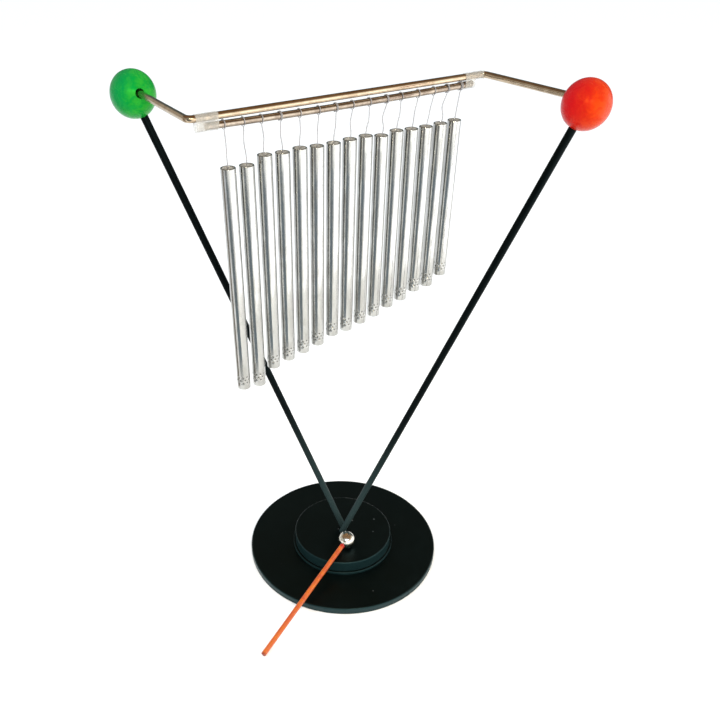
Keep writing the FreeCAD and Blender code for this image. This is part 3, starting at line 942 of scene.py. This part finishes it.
def make_sky():
    """Plain pale light all round; polish sees a dim room with light low on two sides."""
    world = bpy.data.worlds.new("studio")
    scene.world = world
    world.use_nodes = True
    graph = Graph(world.node_tree)
    background = world.node_tree.nodes["Background"]
    direction = graph.put("ShaderNodeTexCoord").outputs["Generated"]
    split = graph.put("ShaderNodeSeparateXYZ")
    graph.feed(split, 0, direction)
    side, ahead, height = split.outputs
    ceiling, walls = solid(0.3, 0.17, 0.08), solid(0.14, 0.12, 0.1)
    seen = graph.mix(graph.ramp(height, 0.9, 0.3), ceiling, walls)
    far_wall = graph.both(graph.ramp(ahead, 0.5, 0.7), graph.ramp(height, 0.76, 0.6))
    seen = graph.mix(far_wall, seen, solid(0.12, 0.15, 0.15))
    left_wall = graph.both(graph.ramp(side, -0.45, -0.75), graph.ramp(height, 0.6, 0.4))
    seen = graph.mix(left_wall, seen, solid(0.62, 0.58, 0.5))
    front_wall = graph.both(graph.ramp(ahead, -0.4, -0.7), graph.ramp(height, 0.25, 0.45))
    seen = graph.mix(front_wall, seen, solid(0.5, 0.58, 0.6))
    to_right = graph.maths("MULTIPLY", side, 0.8)
    right_front = graph.maths("MULTIPLY_ADD", ahead, -0.5, to_right)
    window = graph.both(graph.ramp(right_front, 0.2, 0.6), graph.ramp(height, 0.75, 0.4))
    upper, lower = solid(0.9, 0.8, 0.64), solid(2.6, 2.6, 2.5)
    seen = graph.mix(window, seen, graph.mix(graph.ramp(height, 0.42, 0.2), upper, lower))
    path = graph.put("ShaderNodeLightPath")
    plain = graph.mix(path.outputs["Is Camera Ray"], solid(1.02, 1.06, 1.1), solid(1, 1, 1))
    graph.feed(background, "Color", graph.mix(path.outputs["Is Glossy Ray"], plain, seen))
    graph.feed(background, "Strength", 1.0)


def make_stage():
    """A pale floor, soft light from both sides, two small lamps and the cards."""
    floor_finish = Finish("floor_paint", (0.98, 0.98, 0.98), 0.9, specular=0.1)
    shape = bmesh.new()
    bmesh.ops.create_grid(shape, x_segments=2, y_segments=2, size=FLOOR_HALF)
    stage_piece("floor", shape, floor_finish.material)
    make_sky()
    for light in (
        area_light("key", (-0.9, -0.4, 1.2), (0, 0, 0.15), 0.8, 4, COOL_LIGHT),
        area_light("warm", (1.0, -0.2, 0.8), (0, 0, 0.25), 0.6, 4, WARM_LIGHT),
    ):
        light.visible_glossy = False
    for name, place in (("left_lamp", (-0.1, -1.0, 0.85)), ("right_lamp", (0.3, -0.95, 0.8))):
        area_light(name, place, LAMP_TARGET, LAMP_SIZE, LAMP_POWER, WARM_LIGHT)
    reflector("dark_card", -126, -84, 0.36, (0.26, 0.32, 0.36), 1.0)
    reflector("brown_card", -178, -150, 0.3, (0.36, 0.31, 0.26), 1.0)
    reflector("bright_card", -66, 16, 0.6, (1.0, 1.0, 1.0), 3.0)
    scene.view_settings.view_transform = "Standard"


# ------------------------------------------------------------------ putting it together
make_camera()
make_stage()
ball_centre, stick_way = mallet_line()
# side is a painted highlight colour for the low upright faces of the base and hub
black_wood = black_paint(
    "black_wood_paint",
    dark=(0.0002, 0.0008, 0.0008),
    worn=(0.0007, 0.0015, 0.0015),
    side=(0.005, 0.016, 0.018),
    roughness=0.36,
    specular=0.28,
    sheen=(0.5, 0.94, 1),
)
# side is a painted highlight colour for the rods near their foot
rod_black = black_paint(
    "black_rod_paint",
    dark=(0.0003, 0.0004, 0.0005),
    worn=(0.001, 0.0012, 0.0013),
    side=(0.022, 0.038, 0.039),
    roughness=0.4,
    specular=0.07,
    sheen=(0.55, 0.94, 1),
)
dress(black_wood, "base_disc", "hub_disc")
dress(rod_black, "left_rod", "right_rod")
dress(pressed_felt(), "felt_pad")
dress(zinc_plate(), "hub_screws")
# deep is painted shade for the ball's left side; light is the paler patches on its right, partly
# painted light
green = ball_paint(
    "green_paint",
    "green_ball",
    main=(0.001, 0.26, 0.03),
    deep=(0.0, 0.18, 0.048),
    light=(0.04, 0.36, 0.02),
    sheen=(0.12, 1, 0.12),
)
# deep is painted shade for the ball's left side; light is the paler patches on its right, partly
# painted light
red = ball_paint(
    "red_paint",
    "red_ball",
    main=(0.54, 0.03, 0.003),
    deep=(0.42, 0.004, 0.008),
    light=(0.62, 0.065, 0.004),
    sheen=(1, 0.2, 0.04),
)
dress(green, "green_ball")
dress(red, "red_ball")
dress(soft_tubing(), "left_sleeve", "right_sleeve")
dress(mirror_steel(), "mallet_ball")
bright_plating = bar_metal("bar_plating", (0.5, 0.4, 0.29), (0.38, 0.29, 0.2), 0.14, BAR_TURN)
# painted shade: the chime bar under the crossbar gets a darker copy of the crossbar's plating
shaded_bar_plating = bar_metal("shaded_bar_plating", (0.38, 0.32, 0.26), (0.24, 0.19, 0.15), 0.12, BAR_TURN)
make_crossbar(bright_plating)
make_chime_bar(shaded_bar_plating)
make_stick(orange_lacquer(ball_centre, stick_way), ball_centre, stick_way)
aluminium = tube_metal()
plastic = pale_plastic()
thread_nylon = nylon()
chance = random.Random(7)
for number in chime_numbers():
    make_tube(number, aluminium, chance)
    make_plugs(number, plastic)
    make_thread(number, thread_nylon)
